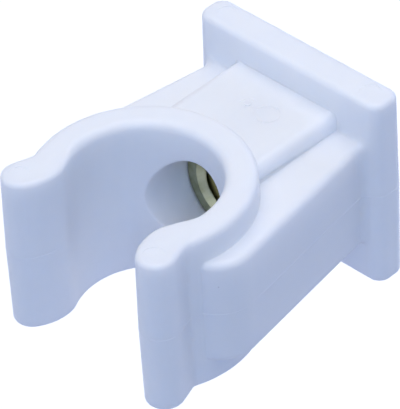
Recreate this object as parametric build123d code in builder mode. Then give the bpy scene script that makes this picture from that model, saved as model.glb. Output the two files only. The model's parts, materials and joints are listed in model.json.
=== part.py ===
from build123d import *
import math
import os

# A snap-in pipe clip: one white moulding round a threaded metal insert.
# The origin is the centre of the foot's back face, which lies on the wall at Y = 0.
# The clip stands out along -Y with its mouth open that way, and the pipe runs along Z.
# Sizes are in millimetres and angles in degrees.

# Pipe seat and the ring round it
pipe_d = 15.0
seat_play = 0.2  # room for the pipe across the seat
pipe_to_wall = 23.65  # from the wall to the pipe's axis
ring_wall = 3.64
ring_h = 18.0
rim_r = 0.55  # rounding of the upper rim of ring and lips
lower_rim_r = 0.4  # the lower rim is sharper

# Lips that spread over the pipe and then hold it
lip_end_w = 4.22
lip_end_out = 3.94  # from the seat's wall out to the centre of a lip's round end
lip_end_angle = 51.4  # from the mouth's middle line to that centre, round the pipe's axis
lip_face_r = 5.5  # bulge of a lip's inner face
throat_depth = 0.25  # how far a lip's inner face would reach into the seat
throat_r = 3.0  # rounding where the seat turns into that face
lip_lean = 18.9  # of a lip's outer face, from the mouth's middle line
lip_root_r = 0.8  # rounding of the outer corner between ring and lip

# Neck with its rounded shoulders
shoulder_wall = 2.0  # how far a shoulder stands out beyond the ring
shoulder_r = 3.9
shoulder_back = 0.4  # from the pipe's axis back to the shoulders' centres
neck_root_w = 20.0
ledge_r = 0.8

# Steps down from the ring's rim to the pad, and from the pad to the neck's ledge
pad_step = 1.1
ledge_step = 1.7
pad_w = 13.1
pad_r = 0.7

# Foot plate
foot_w = 24.25
foot_h = 22.1
foot_t = 3.85
foot_corner_r = 1.4
foot_r = 0.6  # rounding of the foot's upper rim
lower_foot_r = 0.4

# Rounding of the inner corners, first where the neck meets the foot, then round pad and ring
neck_corner_r = 1.0
corner_r = 0.25

# Marks of the mould on the upper side: where pins push the clip out, and the gate on the pad
mark_depth = 0.06
lip_mark_d = 2.2
lip_mark_out = 0.25  # from the centre of a lip's end to the mark's centre
foot_mark_d = 2.2
foot_mark_inset = 2.6  # from the foot's side to the mark's centre
pad_mark_d = 2.7
pad_mark_w = 0.2  # this mark is only a thin ring
pad_mark_x = 1.7
gate_x = -0.9
gate_d = 1.6
gate_stub_d = 0.7
gate_stub_h = 0.08

# Threaded insert and the round bore that leads to it from the seat
thread_d = 8.0
thread_pitch = 1.25
thread_lead_in = 0.3  # how far the countersink reaches beyond the thread
insert_d = 12.0
insert_front = 12.3  # from the wall to the insert's front face
insert_recess = 0.2  # how far the insert's back lies behind the foot's back face
groove_w = 1.2
groove_depth = 0.8
groove_gap = 4.0  # between the middles of the two grooves
bore_d = 10.9
bore_r = 0.3  # rounding of the bore's edge in the seat

# Draft of the moulding, both ways from the parting plane at Z = 0
draft_angle = 0.75

# Worked out from the sizes above
seat_r = (pipe_d + seat_play) / 2
ring_r = seat_r + ring_wall
pad_h = ring_h - 2 * pad_step
neck_h = pad_h - 2 * ledge_step
shoulder_x = ring_r + shoulder_wall - shoulder_r
shoulder_y = shoulder_back - pipe_to_wall
pad_middle_y = (ring_r - pipe_to_wall - foot_t) / 2
foot_mark_y = -(foot_t - foot_h / 2 * math.tan(math.radians(draft_angle))) / 2
insert_len = insert_front - insert_recess
tap_d = thread_d - thread_pitch
countersink = thread_d / 2 + thread_lead_in - tap_d / 2

# How close a place has to be to count as the same
tolerance = 0.01


def round_the_pipe(radius, angle):
    """A point at a radius from the pipe's axis, turned from the mouth's middle line."""
    turn = math.radians(angle)
    return Vector(radius * math.sin(turn), -pipe_to_wall - radius * math.cos(turn))


def touching_line(start, centre, radius):
    """The line from a point to where it touches a circle on its left, seen from that point."""
    way = centre - start
    lean = math.degrees(math.asin(radius / way.length))
    return start, centre + way.normalized().rotate(Axis.Z, 90 + lean) * radius


def corner_angle(first, second, opposite):
    """The angle between two sides of a triangle, from its three sides."""
    return math.degrees(math.acos((first**2 + second**2 - opposite**2) / (2 * first * second)))


def rim(form, height):
    """The edges round a form's level faces at a height."""
    level = form.faces().filter_by(Plane.XY)
    return level.filter_by(lambda face: abs(face.center().Z - height) < tolerance).edges()


def upright(edges):
    """Those of the edges that run up a form, not round it."""
    return edges.filter_by(lambda edge: edge.bounding_box().size.Z > edge.length / 2)


def walls(form):
    """The faces of a form that stand upright, apart from one on the wall."""
    upright_faces = form.faces().filter_by(lambda face: abs(face.normal_at().Z) < tolerance)
    return upright_faces.filter_by(lambda face: face.center().Y < 0)


# The foot, neck, pad and ring are each the upper half of a form, from the parting plane up.
with BuildPart() as foot:
    with BuildSketch():
        Rectangle(foot_w, foot_t, align=(Align.CENTER, Align.MAX))
    extrude(amount=foot_h / 2)
    draft(walls(foot), Plane.XY, draft_angle)
    fillet(upright(foot.edges()), foot_corner_r)

with BuildPart() as neck:
    neck_root = Vector(neck_root_w / 2, -foot_t / 2)
    shoulder = Vector(shoulder_x, shoulder_y)
    with BuildSketch():
        with Locations(shoulder):
            Circle(shoulder_r)
        with BuildLine():
            Polyline(
                (0, neck_root.Y),
                *touching_line(neck_root, shoulder, shoulder_r),
                (shoulder_x, shoulder_y - shoulder_r),
                (0, shoulder_y - shoulder_r),
                close=True,
            )
        make_face()
        mirror(about=Plane.YZ)
    extrude(amount=neck_h / 2)
    draft(walls(neck), Plane.XY, draft_angle)
    fillet(rim(neck, neck_h / 2), ledge_r)
    # The ring takes the place of neck and pad from the middle of the ring's wall inwards.
    with BuildSketch():
        with Locations((0, -pipe_to_wall)):
            Circle(seat_r + ring_wall / 2)
    extrude(amount=neck_h, mode=Mode.SUBTRACT)

with BuildPart() as pad:
    with BuildSketch():
        with Locations((0, -foot_t / 2)):
            Rectangle(pad_w, pipe_to_wall - foot_t / 2, align=(Align.CENTER, Align.MAX))
    extrude(amount=pad_h / 2)
    draft(walls(pad), Plane.XY, draft_angle)
    fillet(rim(pad, pad_h / 2), pad_r)
    with BuildSketch():
        with Locations((0, -pipe_to_wall)):
            Circle(seat_r + ring_wall / 2)
    extrude(amount=pad_h, mode=Mode.SUBTRACT)

with BuildPart() as ring:
    # A lip's inner face is an arc that touches a circle in the seat and holds the lip's end.
    throat_out = seat_r - throat_depth
    face_angle = lip_end_angle + corner_angle(
        seat_r + lip_end_out, throat_out + lip_face_r, lip_face_r - lip_end_w / 2
    )
    throat = round_the_pipe(throat_out, face_angle)
    face_centre = round_the_pipe(throat_out + lip_face_r, face_angle)
    lip_end = round_the_pipe(seat_r + lip_end_out, lip_end_angle)
    face_end = lip_end + (lip_end - face_centre).normalized() * lip_end_w / 2
    back_end = lip_end + Vector(1, 0).rotate(Axis.Z, lip_lean) * lip_end_w / 2
    back_root = back_end + Vector(0, 1).rotate(Axis.Z, lip_lean) * lip_end_out
    with BuildSketch() as ring_outline:
        with Locations((0, -pipe_to_wall)):
            Circle(ring_r)
        with BuildLine():
            Polyline(
                (-throat.X, throat.Y),
                (throat.X, throat.Y),
                (lip_end.X, lip_end.Y),
                (lip_end.X, lip_end.Y - ring_r),
                (-lip_end.X, lip_end.Y - ring_r),
                (-lip_end.X, lip_end.Y),
                close=True,
            )
        make_face(mode=Mode.SUBTRACT)
        with Locations(lip_end):
            Circle(lip_end_w / 2)
        with BuildLine():
            RadiusArc(throat, face_end, -lip_face_r)
            Polyline(face_end, back_end, back_root, throat)
        make_face()
        mirror(about=Plane.YZ)
        ring_back = ring_outline.edges().sort_by(SortBy.LENGTH)[-1]
        fillet(ring_back.vertices(), lip_root_r)
    extrude(amount=ring_h / 2)
    draft(walls(ring), Plane.XY, draft_angle)
    with BuildSketch():
        with Locations((0, -pipe_to_wall)):
            Circle(seat_r)
    extrude(amount=ring_h, mode=Mode.SUBTRACT)
    fillet(upright(ring.edges(Select.LAST)), throat_r)

with BuildPart() as threaded_insert:
    with BuildSketch() as insert_section:
        with Locations((0, -insert_recess)):
            Rectangle(insert_d / 2, insert_len, align=(Align.MIN, Align.MAX))
        with Locations((insert_d / 2, -insert_recess - insert_len / 2)):
            with GridLocations(0, groove_gap, 1, 2):
                Rectangle(
                    groove_depth, groove_w, align=(Align.MAX, Align.CENTER), mode=Mode.SUBTRACT
                )
    revolve(axis=Axis.Y)
    with Locations(Plane.XZ):
        Hole(tap_d / 2)
    ends = threaded_insert.edges().filter_by(GeomType.CIRCLE).group_by(SortBy.RADIUS)[0]
    chamfer(ends, countersink)

with BuildPart() as clip_body:
    add(foot.part)
    add(neck.part)
    fillet(clip_body.edges(Select.NEW), neck_corner_r)
    add([pad.part, ring.part])
    fillet(clip_body.edges(Select.NEW), corner_r)
    # The bore goes into this half too, where its edge in the seat is one smooth curve.
    with BuildSketch(Plane.XZ.offset(insert_front)):
        Circle(bore_d / 2)
    extrude(amount=pipe_to_wall - insert_front, mode=Mode.SUBTRACT)
    bore_ends = clip_body.edges(Select.LAST).filter_by(
        lambda edge: edge.bounding_box().size.Z > tolerance
    )
    fillet(bore_ends.sort_by(Axis.Y)[0], bore_r)
    mirror(about=Plane.XY)
    fillet(rim(clip_body, foot_h / 2), foot_r)
    fillet(rim(clip_body, -foot_h / 2), lower_foot_r)
    fillet(rim(clip_body, ring_h / 2), rim_r)
    fillet(rim(clip_body, -ring_h / 2), lower_rim_r)
    # The insert fills a pocket of its own form, which is open at the foot's back face.
    add(insert_section.sketch)
    revolve(axis=Axis.Y, mode=Mode.SUBTRACT)
    with BuildSketch(Plane.XZ):
        Circle(insert_d / 2)
    extrude(amount=insert_recess, mode=Mode.SUBTRACT)
    with BuildSketch(Plane.XY.offset(ring_h / 2)):
        with Locations((0, lip_end.Y - lip_mark_out)):
            with GridLocations(2 * lip_end.X, 0, 2, 1):
                Circle(lip_mark_d / 2)
    extrude(amount=-mark_depth, mode=Mode.SUBTRACT)
    with BuildSketch(Plane.XY.offset(foot_h / 2)):
        with Locations((0, foot_mark_y)):
            with GridLocations(foot_w - 2 * foot_mark_inset, 0, 2, 1):
                Circle(foot_mark_d / 2)
    extrude(amount=-mark_depth, mode=Mode.SUBTRACT)
    with BuildSketch(Plane.XY.offset(pad_h / 2)):
        with Locations((pad_mark_x, pad_middle_y)):
            Circle(pad_mark_d / 2)
            Circle(pad_mark_d / 2 - pad_mark_w, mode=Mode.SUBTRACT)
        with Locations((gate_x, pad_middle_y)):
            Circle(gate_d / 2)
            Circle(gate_stub_d / 2, mode=Mode.SUBTRACT)
    extrude(amount=-mark_depth, mode=Mode.SUBTRACT)
    with BuildSketch(Plane.XY.offset(pad_h / 2)):
        with Locations((gate_x, pad_middle_y)):
            Circle(gate_stub_d / 2)
    extrude(amount=gate_stub_h)

clip_body.part.label = "clip_body"
threaded_insert.part.label = "threaded_insert"

os.makedirs("parts", exist_ok=True)
export_step(clip_body.part, "parts/clip_body.step")
export_step(threaded_insert.part, "parts/threaded_insert.step")
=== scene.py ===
import json
import math

import bmesh
import bpy
from mathutils import Matrix, Vector


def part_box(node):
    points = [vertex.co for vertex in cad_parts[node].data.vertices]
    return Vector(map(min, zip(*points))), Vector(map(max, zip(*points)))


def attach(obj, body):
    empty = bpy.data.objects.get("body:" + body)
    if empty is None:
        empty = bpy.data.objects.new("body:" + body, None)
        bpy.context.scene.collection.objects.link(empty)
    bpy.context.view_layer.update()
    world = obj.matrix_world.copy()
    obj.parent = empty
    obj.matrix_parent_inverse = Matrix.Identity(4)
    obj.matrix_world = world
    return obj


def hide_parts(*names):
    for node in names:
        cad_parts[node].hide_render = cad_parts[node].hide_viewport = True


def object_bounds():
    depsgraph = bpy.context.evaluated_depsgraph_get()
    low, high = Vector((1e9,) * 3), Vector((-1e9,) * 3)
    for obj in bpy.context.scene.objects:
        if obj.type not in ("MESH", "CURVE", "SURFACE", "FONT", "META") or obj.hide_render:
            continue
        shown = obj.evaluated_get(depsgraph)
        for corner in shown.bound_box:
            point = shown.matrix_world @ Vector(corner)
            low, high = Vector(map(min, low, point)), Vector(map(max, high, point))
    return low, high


# The looks of a snap-in pipe clip: a white moulding with a threaded brass insert in its neck.
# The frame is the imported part's own: the wall is at Y = 0, the mouth opens along -Y, the pipe runs
# along Z. Lengths are in metres, worked out from millimetres, and colours are linear.

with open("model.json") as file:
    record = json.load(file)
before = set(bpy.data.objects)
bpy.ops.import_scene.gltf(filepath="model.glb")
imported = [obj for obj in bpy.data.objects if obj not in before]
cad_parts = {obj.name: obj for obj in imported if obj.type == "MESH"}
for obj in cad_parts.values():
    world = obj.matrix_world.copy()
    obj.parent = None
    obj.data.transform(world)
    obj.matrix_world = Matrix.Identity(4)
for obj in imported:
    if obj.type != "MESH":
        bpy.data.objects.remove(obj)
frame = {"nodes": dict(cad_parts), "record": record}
cad_low, cad_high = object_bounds()

MM = 0.001
BODY = "root"
CLIP = "clip_body"
INSERT = "threaded_insert"

# Camera, as found from the photograph
IMAGE_LONG_SIDE = 409
FOCAL_PIXELS = 4294.65
SENSOR = 36.0
CAMERA_TARGET = Vector((-0.328, -15.869, 0.370)) * MM
CAMERA_DISTANCE = 416.67 * MM
CAMERA_AZIMUTH = math.radians(46.23)
CAMERA_ELEVATION = math.radians(39.64)
CAMERA_ROLL = math.radians(-3.39)

# Light: a wide soft key from straight above, cooler fills from the front left, the camera's side,
# the back and the right, a faint cool surround, and a pale floor well below.
# Each lamp has its colour, strength, width in degrees and the direction it comes from.
LAMPS = {
    "key": ((1.0, 0.935, 0.875), 1.79, 70, (0.0, 0.0, 1.0)),
    "left_fill": ((0.56, 0.70, 1.0), 0.82, 70, (-0.7, -0.7, 0.15)),
    "camera_fill": ((0.44, 0.63, 1.0), 0.83, 20, (0.55, -0.53, 0.64)),
    "back_fill": ((0.46, 0.60, 1.0), 1.29, 70, (0.0, 1.0, 0.15)),
    "right_fill": ((0.25, 0.5, 1.0), 0.17, 70, (0.7, 0.0, 0.7)),
}
SURROUND_COLOR = (0.09, 0.108, 0.15)
WHITE = (1.0, 1.0, 1.0)
FLOOR_COLOR = (0.43, 0.47, 0.60)
FLOOR_GLOW = 0.68
FLOOR_RADIUS = 2.0
FLOOR_DROP = 60 * MM
FLOOR_SIDES = 96

# Patterns of the materials have so many waves a metre and levels of detail, and their reliefs a
# strength and a height. A range is the part of a pattern's values that is used.
WIDE_RANGE = (0.3, 0.7)
NARROW_RANGE = (0.35, 0.65)

# White plastic: faint mottle, streaks along the neck, a few specks, an uneven sheen, fine grain
# and slight waves, with light that goes deep into it
PLASTIC_LIGHT = (0.905, 0.922, 0.982)
PLASTIC_SHADE = (0.885, 0.904, 0.974)
PLASTIC_SPECK = (0.45, 0.45, 0.50)
MOTTLE = (190, 3)
MOTTLE_SHARE = 0.7
STREAKS = (900, 2)
STREAK_STRETCH = (1.0, 0.12, 1.0)
SPECK_CELLS = 240
SPECK_EDGE = (0.012, 0.022)
SPECK_RARITY = 0.9
SPECK_STRENGTH = 0.5
SHEEN = (650, 4)
PLASTIC_ROUGHNESS = (0.36, 0.5)
GRAIN = (5200, 2)
GRAIN_RELIEF = (0.25, 0.02 * MM)
WAVES = (320, 1)
WAVE_RELIEF = (0.3, 0.05 * MM)
PLASTIC_IOR = 1.5
SUBSURFACE = 1.0
SUBSURFACE_TINT = (1.0, 0.95, 0.9)
SUBSURFACE_REACH = 2.0 * MM

# Brass of the insert, bright and tarnished, with marks of the lathe, and painted shade in the
# thread, darker from a depth that wanders a little
BRASS_BRIGHT = (0.44, 0.45, 0.31)
BRASS_DULL = (0.33, 0.34, 0.21)
BRASS_THREAD_SHADE = (0.15, 0.145, 0.06)
LATHE_MARKS = (9000, 3)
LATHE_RELIEF = (0.35, 0.02 * MM)
TARNISH = (700, 4)
BRASS_SHEEN_RANGE = (0.7, 1.3)
BRASS_ROUGHNESS = (0.34, 0.5)
THREAD_SHADE_DEPTH = (0.6 * MM, 0.85 * MM)
THREAD_SHADE_WANDER = 0.2 * MM

# Sockets of a colour mix, by number because their names repeat
MIX_SHARE, MIX_FIRST, MIX_SECOND = 0, 6, 7
MIX_RESULT = 2

# The solid's edges: the walls and levels that they lie on, their radii, and how near to a wall a
# point counts as on it
DRAFT = math.tan(math.radians(0.75))
RING_R = 11.24 * MM
RIM_Z = 9.0 * MM
PAD_Z = 7.9 * MM
LEDGE_Z = 6.2 * MM
PAD_X = 6.55 * MM
FOOT_Y = -3.85 * MM
RIM_R = 0.55 * MM
PAD_R = 0.7 * MM
CORNER_R = 0.25 * MM
FOOT_CORNER_R = 1.0 * MM
ON_WALL = 0.03 * MM

# What the looks give them instead. On the upper side: softer rims round seat, ring and pad, a seat
# that widens a little to its rim, and a wider pad on a slightly lower ledge. On both sides: sharper
# inner corners round ledge and pad and at the foot
SEAT_RIM_R = 0.95 * MM
SEAT_FLARE = 0.28 * MM
RING_RIM_R = 0.75 * MM
PAD_SOFT_R = 1.0 * MM
PAD_GROWTH = 0.3 * MM
LEDGE_DROP = 0.18 * MM
SHARP_R = 0.05 * MM
FOOT_SHARP_R = 0.25 * MM
SOFTER = PAD_SOFT_R / PAD_R
SHARPER = SHARP_R / CORNER_R
LEDGE_SHIFT = PAD_GROWTH + SHARP_R - CORNER_R

# Where these changes fade out: along Y from the pipe's axis for seat and ring, and from the middle
# plane along X for the foot's corner and the ledge's shift
SEAT_END = (-2.6 * MM, -0.6 * MM)
RING_END = (-5.0 * MM, -3.0 * MM)
FOOT_CORNER_END = (9.3 * MM, 10.2 * MM)
LEDGE_SIDES = (6.72 * MM, 8.7 * MM)

# Where the ledge begins along X, the heights of it and its roundings, and the place along the neck
# that parts what meets the ring from what meets the foot
LEDGE_INNER_X = 6.3 * MM
LEDGE_REACH = (5.3 * MM, 6.5 * MM)
NECK_MIDDLE_Y = -8.0 * MM

# Thread of the insert: where it starts, in turns round the axis, its crest, root and flanks as
# shares of the pitch, and turns to spare, so that it runs past both ends
THREAD_D = 8.0 * MM
THREAD_PITCH = 1.25 * MM
THREAD_LEAD_IN = 0.3 * MM
THREAD_START = 0.32
THREAD_CREST = 0.30
THREAD_ROOT = 0.125
THREAD_FLANK = (1 - THREAD_CREST - THREAD_ROOT) / 2
FLANK_STEPS = 4
SPARE_TURNS = 2

# The insert round its thread: two grooves in its outside, the sides of its circles, and the angle
# from which an edge is shaded as sharp
GROOVE_W = 1.2 * MM
GROOVE_DEPTH = 0.8 * MM
GROOVE_GAP = 4.0 * MM
INSERT_SIDES = 144
INSERT_SHARP = math.radians(25)

# Fine flash where the mould's halves meet, which tapers off at its ends and keeps clear of the
# seat, the bore and the back
FLASH_PROUD = 0.03 * MM
FLASH_W = 0.015 * MM
FLASH_SIDES = 8
FLASH_TAPER = 0.1
FLASH_CLEARANCE = 0.6 * MM

# Points nearer than this are taken as one
WELD = 0.001 * MM


def add_node(tree, kind, inputs=None, **settings):
    """A node with its settings made and its inputs set to values or linked to other sockets."""
    node = tree.nodes.new(kind)
    for name, value in settings.items():
        setattr(node, name, value)
    for name, value in (inputs or {}).items():
        if isinstance(value, bpy.types.NodeSocket):
            tree.links.new(value, node.inputs[name])
        else:
            node.inputs[name].default_value = value
    return node


def opaque(color):
    """A colour with full alpha, as a node's socket takes it."""
    return (*color, 1.0)


def new_material(name):
    """A material with an empty node tree."""
    material = bpy.data.materials.new(name)
    material.use_nodes = True
    material.node_tree.nodes.clear()
    return material


def object_place(tree):
    """The place on the object, as a pattern's vector."""
    return add_node(tree, "ShaderNodeTexCoord").outputs["Object"]


def noise(tree, place, pattern):
    """Noise of a pattern, as a value from about 0 to 1."""
    scale, detail = pattern
    inputs = {"Vector": place, "Scale": scale, "Detail": detail}
    return add_node(tree, "ShaderNodeTexNoise", inputs).outputs["Fac"]


def spread(tree, value, limits, results=(0, 1)):
    """A value that goes from one result to the other between its limits."""
    inputs = {
        "Value": value,
        "From Min": limits[0],
        "From Max": limits[1],
        "To Min": results[0],
        "To Max": results[1],
    }
    return add_node(tree, "ShaderNodeMapRange", inputs).outputs["Result"]


def calculate(tree, operation, first, second):
    """A sum, product or other result of two values."""
    node = add_node(tree, "ShaderNodeMath", {0: first, 1: second}, operation=operation)
    return node.outputs["Value"]


def blend_colors(tree, share, first, second):
    """One colour that turns into another as the share goes from 0 to 1."""
    inputs = {MIX_SHARE: share, MIX_FIRST: first, MIX_SECOND: second}
    node = add_node(tree, "ShaderNodeMix", inputs, data_type="RGBA")
    return node.outputs[MIX_RESULT]


def bump(tree, height, relief, under=None):
    """A surface's direction with a relief in it, over that of another bump if one is given."""
    strength, distance = relief
    inputs = {"Height": height, "Strength": strength, "Distance": distance}
    if under is not None:
        inputs["Normal"] = under
    return add_node(tree, "ShaderNodeBump", inputs).outputs["Normal"]


def use_surface(tree, shader):
    """Let a shader be the material's surface."""
    add_node(tree, "ShaderNodeOutputMaterial", {"Surface": shader})


def plastic_material(name, subsurface):
    """White moulded plastic: soft, faintly mottled, with a fine grain and a few specks."""
    material = new_material(name)
    tree = material.node_tree
    place = object_place(tree)

    mottle = spread(tree, noise(tree, place, MOTTLE), NARROW_RANGE)
    along = add_node(tree, "ShaderNodeMapping", {"Vector": place, "Scale": STREAK_STRETCH})
    streaks = spread(tree, noise(tree, along.outputs["Vector"], STREAKS), WIDE_RANGE)
    tone = calculate(
        tree,
        "ADD",
        calculate(tree, "MULTIPLY", mottle, MOTTLE_SHARE),
        calculate(tree, "MULTIPLY", streaks, 1 - MOTTLE_SHARE),
    )
    color = blend_colors(tree, tone, opaque(PLASTIC_LIGHT), opaque(PLASTIC_SHADE))

    cells = add_node(tree, "ShaderNodeTexVoronoi", {"Vector": place, "Scale": SPECK_CELLS})
    near = spread(tree, cells.outputs["Distance"], SPECK_EDGE, (1, 0))
    chosen = add_node(tree, "ShaderNodeSeparateColor", {"Color": cells.outputs["Color"]})
    rare = calculate(tree, "GREATER_THAN", chosen.outputs["Red"], SPECK_RARITY)
    speck = calculate(tree, "MULTIPLY", calculate(tree, "MULTIPLY", near, rare), SPECK_STRENGTH)
    color = blend_colors(tree, speck, color, opaque(PLASTIC_SPECK))

    fine = bump(tree, noise(tree, place, GRAIN), GRAIN_RELIEF)
    shader = add_node(
        tree,
        "ShaderNodeBsdfPrincipled",
        {
            "Base Color": color,
            "Roughness": spread(tree, noise(tree, place, SHEEN), WIDE_RANGE, PLASTIC_ROUGHNESS),
            "Normal": bump(tree, noise(tree, place, WAVES), WAVE_RELIEF, fine),
            "IOR": PLASTIC_IOR,
            "Subsurface Weight": subsurface,
            "Subsurface Radius": SUBSURFACE_TINT,
            "Subsurface Scale": SUBSURFACE_REACH,
        },
    )
    use_surface(tree, shader.outputs["BSDF"])
    return material


def brass_material():
    """Turned brass, dulled by air: fine marks of the lathe, patchy tarnish and painted shade deep in
    the thread.
    """
    low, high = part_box(INSERT)
    material = new_material("turned_brass")
    tree = material.node_tree
    place = object_place(tree)

    axes = add_node(tree, "ShaderNodeSeparateXYZ", {"Vector": place}).outputs
    across = add_node(tree, "ShaderNodeCombineXYZ", {"X": axes["X"], "Z": axes["Z"]})
    radius = add_node(
        tree, "ShaderNodeVectorMath", {0: across.outputs["Vector"]}, operation="LENGTH"
    )
    turned = add_node(
        tree, "ShaderNodeCombineXYZ", {"X": radius.outputs["Value"], "Y": axes["Y"]}
    )
    marks = noise(tree, turned.outputs["Vector"], LATHE_MARKS)

    patches = noise(tree, place, TARNISH)
    tarnish = spread(tree, patches, NARROW_RANGE)
    color = blend_colors(tree, tarnish, opaque(BRASS_BRIGHT), opaque(BRASS_DULL))
    # Painted shade: the brass turns dark with depth into the thread from either end face
    from_front = calculate(tree, "SUBTRACT", axes["Y"], low.y)
    from_back = calculate(tree, "SUBTRACT", high.y, axes["Y"])
    depth = calculate(tree, "MINIMUM", from_front, from_back)
    depth = calculate(tree, "ADD", depth, calculate(tree, "MULTIPLY", patches, THREAD_SHADE_WANDER))
    color = blend_colors(tree, spread(tree, depth, THREAD_SHADE_DEPTH), color, opaque(BRASS_THREAD_SHADE))

    sheen = calculate(tree, "ADD", marks, patches)
    shader = add_node(
        tree,
        "ShaderNodeBsdfPrincipled",
        {
            "Base Color": color,
            "Metallic": 1.0,
            "Roughness": spread(tree, sheen, BRASS_SHEEN_RANGE, BRASS_ROUGHNESS),
            "Normal": bump(tree, marks, LATHE_RELIEF),
        },
    )
    use_surface(tree, shader.outputs["BSDF"])
    return material


def seen_directly(tree):
    """1 for a ray from the camera, a mirror or glass, and 0 for one that carries light."""
    rays = add_node(tree, "ShaderNodeLightPath").outputs
    seen = calculate(tree, "MAXIMUM", rays["Is Camera Ray"], rays["Is Glossy Ray"])
    return calculate(tree, "MAXIMUM", seen, rays["Is Transmission Ray"])


def floor_material():
    """A pale matt floor that takes shadows, lifted to white for what looks at it directly."""
    material = new_material("pale_floor")
    tree = material.node_tree
    matt = add_node(tree, "ShaderNodeBsdfDiffuse", {"Color": opaque(FLOOR_COLOR)})
    lift = calculate(tree, "MULTIPLY", seen_directly(tree), FLOOR_GLOW)
    glow = add_node(tree, "ShaderNodeEmission", {"Color": opaque(WHITE), "Strength": lift})
    both = {0: matt.outputs["BSDF"], 1: glow.outputs["Emission"]}
    use_surface(tree, add_node(tree, "ShaderNodeAddShader", both).outputs["Shader"])
    return material


def place_object(name, data):
    """An object in the scene, at the origin."""
    made = bpy.data.objects.new(name, data)
    bpy.context.scene.collection.objects.link(made)
    return made


def finished_mesh(name, form):
    """A mesh from a form under way, which is used up."""
    mesh = bpy.data.meshes.new(name)
    form.to_mesh(mesh)
    form.free()
    return mesh


def clip_piece(name, mesh, material):
    """A piece of the clip in its material, which rides on the clip's one body."""
    mesh.materials.clear()
    mesh.materials.append(material)
    piece = place_object(name, mesh)
    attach(piece, BODY)
    return piece


def skin(form, columns):
    """Quads between each column of points and the next one."""
    for left, right in zip(columns, columns[1:]):
        for low in range(len(left) - 1):
            corners = (left[low], left[low + 1], right[low + 1], right[low])
            form.faces.new(corners)


def smooth_outward(form):
    """Turn a form's faces outward and shade them smoothly."""
    bmesh.ops.recalc_face_normals(form, faces=form.faces)
    for face in form.faces:
        face.smooth = True


def thread_profile(minor, major):
    """One pitch of a nut's thread, as the share of the pitch and the radius there."""
    height = major - minor
    falling = THREAD_CREST + THREAD_FLANK + THREAD_ROOT
    profile = [(0.0, minor), (THREAD_CREST / 2, minor)]
    for step in range(FLANK_STEPS + 1):
        share = step / FLANK_STEPS
        profile.append((THREAD_CREST + THREAD_FLANK * share, minor + height * share))
    for step in range(FLANK_STEPS):
        share = step / FLANK_STEPS
        profile.append((falling + THREAD_FLANK * share, major - height * share))
    return profile


def lathe_point(radius, y, turn):
    """A point at a radius round the insert's axis."""
    return Vector((radius * math.cos(turn), y, radius * math.sin(turn)))


def threaded_insert(material):
    """The brass insert with its thread cut as a true helix that both end faces cut off."""
    low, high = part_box(INSERT)
    outer = (high.x - low.x) / 2
    middle = (low.y + high.y) / 2
    major = THREAD_D / 2
    minor = (THREAD_D - THREAD_PITCH) / 2
    mouth = major + THREAD_LEAD_IN
    inset = outer - GROOVE_DEPTH
    profile = thread_profile(minor, major)
    turns = math.ceil((high.y - low.y) / THREAD_PITCH) + SPARE_TURNS
    form = bmesh.new()

    thread_columns = []
    for side in range(INSERT_SIDES + 1):
        share = side / INSERT_SIDES
        column = []
        for turn in range(turns):
            for step, radius in profile:
                y = low.y + THREAD_PITCH * (turn + step + share - 1 - THREAD_START)
                y = min(max(y, low.y), high.y)
                countersink = mouth - min(y - low.y, high.y - y)
                point = lathe_point(max(radius, countersink), y, -math.tau * share)
                column.append(form.verts.new(point))
        thread_columns.append(column)
    skin(form, thread_columns)

    outline = [(mouth, low.y), (outer, low.y)]
    for groove in (middle - GROOVE_GAP / 2, middle + GROOVE_GAP / 2):
        start, end = groove - GROOVE_W / 2, groove + GROOVE_W / 2
        outline += [(outer, start), (inset, start), (inset, end), (outer, end)]
    outline += [(outer, high.y), (mouth, high.y)]
    outside_columns = []
    for side in range(INSERT_SIDES + 1):
        turn = math.tau * side / INSERT_SIDES
        outside_columns.append([form.verts.new(lathe_point(r, y, turn)) for r, y in outline])
    skin(form, outside_columns)

    bmesh.ops.remove_doubles(form, verts=form.verts, dist=WELD)
    smooth_outward(form)
    mesh = finished_mesh("brass_insert", form)
    mesh.set_sharp_from_angle(angle=INSERT_SHARP)
    piece = clip_piece("brass_insert", mesh, material)
    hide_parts(INSERT)


def pipe_seat():
    """The place of the pipe's axis along Y and the seat's radius."""
    mount = {m["name"]: m for m in frame["record"]["mounts"]}["pipe_seat"]
    return mount["pos_m"][1], mount["dims"]["r_mm"] * MM


def between(first, second, value, limits):
    """A size that goes from one to another as a value goes through its limits."""
    share = (value - limits[0]) / (limits[1] - limits[0])
    return first + (second - first) * min(max(share, 0.0), 1.0)


def ring_wall(z):
    """How far the ring's outer wall lies from the pipe's axis at a height."""
    return RING_R - z * DRAFT


def pad_wall(z):
    """How far the pad's side lies from the middle plane at a height."""
    return PAD_X - z * DRAFT


def foot_wall(z):
    """Where the foot's front lies along Y at a height."""
    return FOOT_Y + z * DRAFT


def at_ledge(z):
    """Whether a height is the ledge's or that of the roundings beside it."""
    return LEDGE_REACH[0] < z < LEDGE_REACH[1]


def reround(place, corner, way, old, new):
    """A place in an edge's section, moved if it lies on a rounding that gets another radius.

    The walls on both sides of the edge meet in the corner and run from it along the way's signs.
    Both distances from the corner change alike, so the surface keeps its directions.
    """
    offs = [(at - zero) * sign for at, zero, sign in zip(place, corner, way)]
    if all(-ON_WALL <= off <= old + ON_WALL for off in offs):
        return [zero + sign * off * new / old for off, zero, sign in zip(offs, corner, way)]
    return place


def reround_ledge_end(y, z, radius):
    """A place along Y and its height, moved if it is in the corner of ledge and foot."""
    corner = (foot_wall(LEDGE_Z), LEDGE_Z)
    return reround((y, z), corner, (-1, 1), FOOT_CORNER_R, radius)


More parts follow.
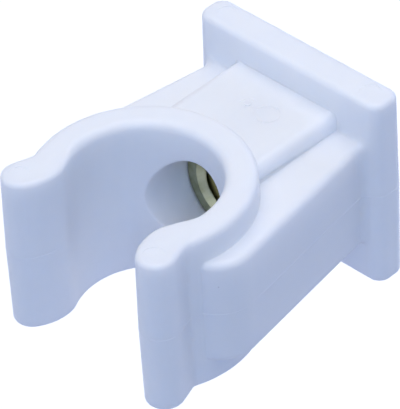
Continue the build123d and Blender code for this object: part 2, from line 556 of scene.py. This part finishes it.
def reshape_ring(out, along, z, seat, upper):
    """The distance from the pipe's axis and the height of a point, with the ring's edges changed."""
    if upper:
        rim = between(RIM_R, SEAT_RIM_R, along, SEAT_END)
        flare = between(0.0, SEAT_FLARE, along, SEAT_END)
        at_rim = -ON_WALL <= out - seat <= RIM_R + ON_WALL and z >= RIM_Z - RIM_R - ON_WALL
        out, z = reround((out, z), (seat, RIM_Z), (1, -1), RIM_R, rim)
        if at_rim:
            out += flare
        rim = between(RIM_R, RING_RIM_R, along, RING_END)
        out, z = reround((out, z), (ring_wall(RIM_Z), RIM_Z), (-1, -1), RIM_R, rim)
    for level in (LEDGE_Z, PAD_Z):
        out, z = reround((out, z), (ring_wall(level), level), (1, 1), CORNER_R, SHARP_R)
    return out, z


def widen_pad(x, y, z):
    """A point at the upper pad's edge, side or ledge, moved as the pad widens, or None elsewhere."""
    reach = CORNER_R + ON_WALL
    edge = pad_wall(PAD_Z)
    offs = (edge - x, PAD_Z - z)
    if all(-reach <= off <= PAD_R + ON_WALL for off in offs):
        inward, down = [off * (SOFTER if off > 0 else SHARPER) for off in offs]
        to_foot = foot_wall(z) - y
        if to_foot < reach:
            y = foot_wall(z) - to_foot * SHARPER
        return edge + PAD_GROWTH - inward, y, PAD_Z - down

    off = x - pad_wall(z)
    if -ON_WALL <= off <= reach and LEDGE_Z - ON_WALL <= z < PAD_Z - PAD_R:
        x = pad_wall(z) + PAD_GROWTH + off * SHARPER
        if foot_wall(LEDGE_Z) - y <= FOOT_CORNER_R + ON_WALL:
            y, z = reround_ledge_end(y, z, FOOT_SHARP_R)
        elif z - LEDGE_Z < reach:
            z = LEDGE_Z + (z - LEDGE_Z) * SHARPER
        return x, y, z

    if at_ledge(z) and LEDGE_SIDES[0] < x < LEDGE_SIDES[1]:
        return x + between(LEDGE_SHIFT, 0.0, x, LEDGE_SIDES), y, z
    return None


def reshaped(point, axis_y, seat):
    """A point of the moulding, moved where the looks change its edge."""
    upper = point.z > 0
    side = abs(point.x)
    x, y, z = side, point.y, abs(point.z)
    start = math.hypot(x, y - axis_y)
    out, z = reshape_ring(start, y - axis_y, z, seat, upper)
    x, y = x * out / start, axis_y + (y - axis_y) * out / start

    widened = widen_pad(x, y, z) if upper and y > axis_y else None
    if widened is None:
        x, z = reround((x, z), (pad_wall(LEDGE_Z), LEDGE_Z), (1, 1), CORNER_R, SHARP_R)
    elif y < NECK_MIDDLE_Y:
        # The pad's end stays on the ring's wall
        x, _, z = widened
        y = axis_y + math.sqrt(out**2 - x**2)
    else:
        x, y, z = widened

    if side < PAD_X:
        y, z = reround((y, z), (foot_wall(PAD_Z), PAD_Z), (-1, 1), CORNER_R, SHARP_R)
    elif widened is None or side > LEDGE_SIDES[0]:
        radius = between(FOOT_SHARP_R, FOOT_CORNER_R, x, FOOT_CORNER_END)
        y, z = reround_ledge_end(y, z, radius)
    if upper and x > LEDGE_INNER_X and at_ledge(z):
        z -= LEDGE_DROP
    return Vector((math.copysign(x, point.x), y, math.copysign(z, point.z)))


def moulding(material):
    """The clip in plastic: the solid's own mesh with its edges changed and its shading kept."""
    mesh = frame["nodes"][CLIP].data.copy()
    normals = [tuple(corner.vector) for corner in mesh.corner_normals]
    seat_place = pipe_seat()
    for vertex in mesh.vertices:
        vertex.co = reshaped(vertex.co, *seat_place)
    mesh.normals_split_custom_set(normals)
    piece = clip_piece("clip_moulding", mesh, material)
    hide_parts(CLIP)


def chains(edges):
    """The runs of points along edges that meet end to end."""
    ways = {}
    for edge in edges:
        first, second = edge.verts
        ways.setdefault(first, []).append(second)
        ways.setdefault(second, []).append(first)
    ends = sorted((v for v in ways if len(ways[v]) == 1), key=lambda v: tuple(v.co))
    runs, used = [], set()
    for start in ends:
        if start in used:
            continue
        run, here = [start], start
        used.add(start)
        while True:
            onward = [v for v in ways[here] if v not in used]
            if not onward:
                break
            here = onward[0]
            used.add(here)
            run.append(here)
        runs.append([v.co.copy() for v in run])
    return runs


def parting_runs():
    """The outer outline of the moulding at the parting plane, without seat, bore and back face."""
    axis_y, seat = pipe_seat()
    insert_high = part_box(INSERT)[1]
    form = bmesh.new()
    form.from_mesh(frame["nodes"][CLIP].data)
    bmesh.ops.remove_doubles(form, verts=form.verts, dist=WELD)
    everything = form.verts[:] + form.edges[:] + form.faces[:]
    bmesh.ops.bisect_plane(
        form,
        geom=everything,
        dist=WELD,
        plane_co=(0, 0, 0),
        plane_no=(0, 0, 1),
        clear_inner=True,
        clear_outer=True,
    )
    bmesh.ops.remove_doubles(form, verts=form.verts, dist=WELD)

    def outside(point):
        off_seat = math.hypot(point.x, point.y - axis_y) > seat + FLASH_CLEARANCE
        off_bore = abs(point.x) > insert_high.x + FLASH_CLEARANCE or point.y < axis_y
        return off_seat and off_bore and point.y < cad_high.y - FLASH_CLEARANCE

    kept = [e for e in form.edges if all(outside(v.co) for v in e.verts)]
    runs = chains(kept)
    form.free()
    return runs


def flash(material):
    """A hair of flash along the parting line: a thin flat fin, half of it in the wall."""
    form = bmesh.new()
    for run in parting_runs():
        last = len(run) - 1
        rings = []
        for index, point in enumerate(run):
            way = (run[min(index + 1, last)] - run[max(index - 1, 0)]).normalized()
            out = Vector((way.y, -way.x, 0))
            size = FLASH_TAPER if index in (0, last) else 1.0
            ring = []
            for side in range(FLASH_SIDES):
                turn = math.tau * side / FLASH_SIDES
                place = point + out * (FLASH_PROUD * size * math.cos(turn))
                place.z = FLASH_W / 2 * size * math.sin(turn)
                place.x = min(max(place.x, cad_low.x), cad_high.x)
                place.y = min(max(place.y, cad_low.y), cad_high.y)
                ring.append(form.verts.new(place))
            rings.append(ring + ring[:1])
        skin(form, rings)
        form.faces.new(rings[0][:-1])
        form.faces.new(rings[-1][:-1])
    smooth_outward(form)
    clip_piece("parting_flash", finished_mesh("parting_flash", form), material)


def make_floor():
    """A round floor well below the clip."""
    form = bmesh.new()
    bmesh.ops.create_circle(form, cap_ends=True, radius=FLOOR_RADIUS, segments=FLOOR_SIDES)
    mesh = finished_mesh("floor", form)
    mesh.materials.append(floor_material())
    floor = place_object("floor", mesh)
    floor.location.z = cad_low.z - FLOOR_DROP


def soft_light(name, color, strength, width, direction):
    """A wide soft light from far off in a direction."""
    light = bpy.data.lights.new(name, "SUN")
    light.color = color
    light.energy = strength
    light.angle = math.radians(width)
    lamp = place_object(name, light)
    lamp.rotation_mode = "QUATERNION"
    lamp.rotation_quaternion = Vector(direction).to_track_quat("Z", "Y")


def make_surround():
    """A surround that looks white and lights coolly."""
    world = bpy.data.worlds.new("surround")
    world.use_nodes = True
    tree = world.node_tree
    tree.nodes.clear()
    light = add_node(tree, "ShaderNodeBackground", {"Color": opaque(SURROUND_COLOR)})
    look = add_node(tree, "ShaderNodeBackground", {"Color": opaque(WHITE)})
    mix = add_node(
        tree,
        "ShaderNodeMixShader",
        {0: seen_directly(tree), 1: light.outputs["Background"], 2: look.outputs["Background"]},
    )
    add_node(tree, "ShaderNodeOutputWorld", {"Surface": mix.outputs["Shader"]})
    bpy.context.scene.world = world


def make_camera():
    """The camera at the photograph's angle."""
    level = math.cos(CAMERA_ELEVATION)
    back = Vector(
        (
            math.sin(CAMERA_AZIMUTH) * level,
            -math.cos(CAMERA_AZIMUTH) * level,
            math.sin(CAMERA_ELEVATION),
        )
    )
    turn = (-back).to_track_quat("-Z", "Y").to_matrix() @ Matrix.Rotation(CAMERA_ROLL, 3, "Z")
    data = bpy.data.cameras.new("camera")
    data.sensor_width = SENSOR
    data.lens = SENSOR * FOCAL_PIXELS / IMAGE_LONG_SIDE
    camera = place_object("camera", data)
    camera.matrix_world = Matrix.Translation(CAMERA_TARGET + back * CAMERA_DISTANCE) @ turn.to_4x4()
    bpy.context.scene.camera = camera


moulding(plastic_material("white_plastic", SUBSURFACE))
flash(plastic_material("white_plastic_thin", 0.0))
threaded_insert(brass_material())
make_floor()
for lamp_name, lamp in LAMPS.items():
    soft_light(lamp_name, *lamp)
make_surround()
make_camera()
bpy.context.scene.view_settings.view_transform = "Standard"
